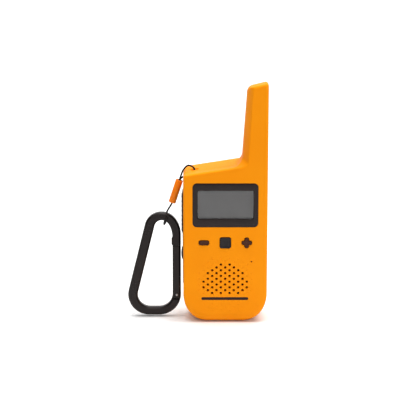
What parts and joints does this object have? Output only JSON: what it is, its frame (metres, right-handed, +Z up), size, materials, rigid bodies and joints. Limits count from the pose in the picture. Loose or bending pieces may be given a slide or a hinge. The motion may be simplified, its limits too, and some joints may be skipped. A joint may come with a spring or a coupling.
{
  "type": "two way radio",
  "caption": "Handheld two way radio with a stub antenna, display window, front keys, speaker grille, side push-to-talk, belt clip and a lanyard with a carabiner.",
  "frame": {"origin": "under the middle of the radio's own box, on the surface it stands on; the lanyard hangs to the -X side", "axes": "front faces -Y, the antenna is on the +X side, +Z runs up to the antenna's tip"},
  "size_m": [0.0954, 0.0386, 0.1659],
  "materials": {
    "case_yellow": "fine texture, satin",
    "black_plastic": "satin",
    "display_black": "gloss",
    "display_clear": "clear window",
    "lcd": "smooth",
    "white_plastic": "matte",
    "rubber_black": "matte",
    "rubber_yellow": "matte",
    "key_rubber": "satin",
    "board_green": "lacquered",
    "tin": "plated",
    "copper": "bright",
    "cell_wrap": "printed sleeve",
    "cord": "braided",
    "bead": "satin",
    "carabiner": "black anodised",
    "felt": "woven"
  },
  "bodies": {
    "radio": {"front_housing": "case_yellow", "rear_housing": "case_yellow", "housing_seal": "rubber_black", "display_frame": "display_black", "display_lens": "display_clear", "lcd_panel": "lcd", "backlight": "white_plastic", "lcd_holder": "white_plastic", "keypad_mat": "rubber_black", "main_board": "board_green", "rf_shield": "tin", "audio_chip": "black_plastic", "antenna_feed": "copper", "antenna_coil": "copper", "speaker_felt": "felt", "speaker_frame": "tin", "speaker_cone": "black_plastic", "speaker_magnet": "tin", "microphone": "tin", "mic_boot": "rubber_black", "side_bezel": "black_plastic", "ptt_switch": "tin", "call_switch": "tin", "side_board": "board_green", "usb_connector": "tin", "accessory_jack": "black_plastic", "battery_cell_1": "cell_wrap", "battery_cell_2": "cell_wrap", "battery_cell_3": "cell_wrap", "contact_low": "tin", "contact_high": "tin", "clip_base": "black_plastic", "clip_pin": "tin", "clip_spring": "tin", "clip_screw_1": "tin", "clip_screw_2": "tin", "housing_screw_1": "tin", "housing_screw_2": "tin", "housing_screw_3": "tin", "housing_screw_4": "tin"},
    "minus": {"minus_key": "key_rubber"},
    "menu": {"menu_key": "key_rubber"},
    "plus": {"plus_key": "key_rubber"},
    "ptt": {"ptt_button": "black_plastic"},
    "call": {"call_button": "black_plastic"},
    "port_flap": {"port_cover": "rubber_yellow"},
    "door": {"battery_door": "case_yellow"},
    "lock": {"door_lock": "black_plastic"},
    "clip": {"belt_clip": "black_plastic"},
    "lanyard": {"lanyard_loop": "cord", "lanyard_cord": "cord", "cord_bead": "bead"},
    "carabiner": {"carabiner_body": "carabiner", "gate_pin": "tin"},
    "gate": {"carabiner_gate": "carabiner"}
  },
  "joints": [
    {"name": "minus_press", "type": "slide", "parent": "radio", "child": "minus", "axis": [0, 1, 0], "range_m": [0, 0.0008], "stiffness_N_per_m": 1500},
    {"name": "menu_press", "type": "slide", "parent": "radio", "child": "menu", "axis": [0, 1, 0], "range_m": [0, 0.0008], "stiffness_N_per_m": 1500},
    {"name": "plus_press", "type": "slide", "parent": "radio", "child": "plus", "axis": [0, 1, 0], "range_m": [0, 0.0008], "stiffness_N_per_m": 1500},
    {"name": "ptt_press", "type": "slide", "parent": "radio", "child": "ptt", "axis": [1, 0, 0], "range_m": [0, 0.001], "stiffness_N_per_m": 2500},
    {"name": "call_press", "type": "slide", "parent": "radio", "child": "call", "axis": [1, 0, 0], "range_m": [0, 0.001], "stiffness_N_per_m": 2000},
    {"name": "port_open", "type": "hinge", "parent": "radio", "child": "port_flap", "pos_m": [0.02852, 0.00188, 0.082], "axis": [0, 0, 1], "range_deg": [0, 100]},
    {"name": "door_open", "type": "hinge", "parent": "radio", "child": "door", "pos_m": [0.00057, 0.01063, 0.057], "axis": [1, 0, 0], "range_deg": [0, 75]},
    {"name": "lock_turn", "type": "hinge", "parent": "door", "child": "lock", "pos_m": [0.00057, 0.01123, 0.0135], "axis": [0, 1, 0], "range_deg": [0, 90]},
    {"name": "clip_squeeze", "type": "hinge", "parent": "radio", "child": "clip", "pos_m": [0.00057, 0.01683, 0.085], "axis": [1, 0, 0], "range_deg": [0, 15], "stiffness_Nm_per_rad": 0.6, "springref_deg": -8.59},
    {"name": "lanyard_swing", "type": "hinge", "parent": "radio", "child": "lanyard", "pos_m": [-0.02542, -0.00377, 0.103], "axis": [0, 1, 0], "range_deg": [0, 80], "deforming": ["lanyard_loop"]},
    {"name": "carabiner_swing", "type": "hinge", "parent": "lanyard", "child": "carabiner", "pos_m": [-0.04102, -0.00377, 0.067], "axis": [0, 1, 0], "range_deg": [0, 40]},
    {"name": "gate_open", "type": "hinge", "parent": "carabiner", "child": "gate", "pos_m": [-0.03257, -0.00377, 0.0156], "axis": [0, -1, 0], "range_deg": [0, 24], "stiffness_Nm_per_rad": 0.05, "springref_deg": -11.46}
  ]
}
